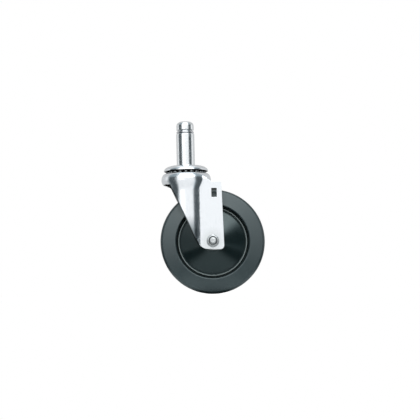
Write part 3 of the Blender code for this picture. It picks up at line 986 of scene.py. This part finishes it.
def make_world():
    """Studio seen by direction: a white front wall between dark flanks, with a soft lamp on its
    left and bright boxes above. Plated steel mirrors the flanks as bands. The camera itself sees
    plain white.
    """
    world = bpy.data.worlds.new("studio")
    bpy.context.scene.world = world
    world.use_nodes = True
    tree = world.node_tree
    links = tree.links
    background = tree.nodes["Background"]
    place = tree.nodes.new("ShaderNodeTexCoord")
    split = tree.nodes.new("ShaderNodeSeparateXYZ")
    links.new(place.outputs["Generated"], split.inputs["Vector"])

    def calc(operation, a, b=0.0):
        node = tree.nodes.new("ShaderNodeMath")
        node.operation = operation
        for socket, value in zip(node.inputs, (a, b)):
            feed(tree, socket, value)
        return node.outputs["Value"]

    def ramp(value, low, high, out_low=0.0, out_high=1.0):
        node = tree.nodes.new("ShaderNodeMapRange")
        node.interpolation_type = "SMOOTHSTEP"
        node.inputs["From Min"].default_value = low
        node.inputs["From Max"].default_value = high
        node.inputs["To Min"].default_value = out_low
        node.inputs["To Max"].default_value = out_high
        links.new(value, node.inputs["Value"])
        return node.outputs["Result"]

    def mix(share, a, b):
        """a where share is 0 and b where it is 1."""
        rest = calc("MULTIPLY", calc("SUBTRACT", 1.0, share), a)
        return calc("ADD", rest, calc("MULTIPLY", share, b))

    x, y, z = split.outputs
    right = calc("MULTIPLY", calc("ARCTAN2", x, calc("MULTIPLY", y, -1.0)), 180 / math.pi)
    left = calc("MULTIPLY", right, -1.0)
    height = calc("MULTIPLY", calc("ARCSINE", z), 180 / math.pi)
    away = calc("ABSOLUTE", right)

    def sector(angle, rise, fall):
        return calc("MULTIPLY", ramp(angle, *rise), ramp(angle, *fall, 1.0, 0.0))

    flanks = calc("ADD", sector(right, *FLANK_RIGHT), sector(left, *FLANK_LEFT))
    lamp = calc("MULTIPLY", sector(left, *LAMP_LEFT), ramp(height, 4, 12))
    walls = mix(lamp, FRONT_LIGHT, LAMP_LIGHT)
    walls = mix(ramp(away, 95, 125), walls, BACK_LIGHT)
    walls = mix(flanks, walls, FLANK_LIGHT)
    sides = calc("ADD", ramp(right, *BOX_RIGHT_FADE), ramp(left, *BOX_LEFT_FADE))
    boxes = mix(sides, BOX_LIGHT, SIDE_LIGHT)
    upper = mix(ramp(height, 58, 70), mix(flanks, boxes, HIGH_FLANK_LIGHT), TOP_LIGHT)
    light = mix(ramp(height, 14, 30), walls, upper)
    below = mix(ramp(away, 80, 110), FLANK_LIGHT, BACK_LIGHT)
    below = mix(ramp(away, 40, 50), BELOW_LIGHT, below)
    light = mix(ramp(height, -8, -1, 1.0, 0.0), light, below)
    camera_ray = tree.nodes.new("ShaderNodeLightPath").outputs["Is Camera Ray"]
    tint = tree.nodes.new("ShaderNodeMix")
    tint.data_type = "RGBA"
    tint.inputs[6].default_value = (1.0, 1.0, 1.0, 1.0)
    tint.inputs[7].default_value = FLANK_COLOUR
    links.new(calc("MULTIPLY", flanks, calc("SUBTRACT", 1.0, camera_ray)), tint.inputs[0])
    links.new(tint.outputs[2], background.inputs["Color"])
    links.new(mix(camera_ray, light, 1.0), background.inputs["Strength"])


def make_key_light():
    data = bpy.data.lights.new("key", "AREA")
    data.shape = "RECTANGLE"
    data.size, data.size_y = 0.5, 0.5
    data.energy = KEY_POWER
    light = bpy.data.objects.new("key", data)
    light.location = (0.476, -0.854, 0.624)
    toward = Vector((WHEEL_X, 0, WHEEL_Z)) * MM - light.location
    light.rotation_euler = toward.to_track_quat("-Z", "Y").to_euler()
    bpy.context.scene.collection.objects.link(light)


def make_floor():
    """Paper disc under the wheel. The camera sees it white, without an edge."""
    paper = bmesh.new()
    bmesh.ops.create_circle(paper, cap_ends=True, segments=96, radius=FLOOR_R)
    floor = add("floor", paper)
    floor.location = (WHEEL_X * MM, 0, (FLOOR_Z - 0.05) * MM)
    n = Nodes("floor_paper")
    reach = n.reach(n.axis("X"), n.axis("Y"))
    # Painted shade on the paper for other rays: dark below the wheel and far off.
    lit = n.times(n.between_mm(reach, *PAPER_RING[0]), n.between_mm(reach, *PAPER_RING[1]))
    seen = n.tree.nodes.new("ShaderNodeLightPath").outputs["Is Camera Ray"]
    n.set("Base Color", n.blend(seen, n.blend(lit, PAPER_DIM, PAPER_LIT), PAPER_SEEN))
    n.set("Emission Color", (1.0, 1.0, 1.0, 1.0))
    n.set("Emission Strength", n.times(seen, PAPER_GLOW))
    n.set("Roughness", 0.85)
    n.set("Specular IOR Level", 0.0)
    floor.data.materials.append(n.material)


# ---- the model ----
make_camera()
make_world()
make_floor()
make_key_light()
make_stem()
make_grip_ring()
make_top_cap()
make_lower_race()
make_balls("upper_ball_ring", "upper_balls", UPPER_BALL_R)
make_balls("lower_ball_ring", "lower_balls", LOWER_BALL_R)
make_fork()
make_bolt()
make_nut()
make_sleeve_and_washers()
make_core()
make_tyre()
make_bushes()

bpy.context.scene.view_settings.view_transform = "Standard"
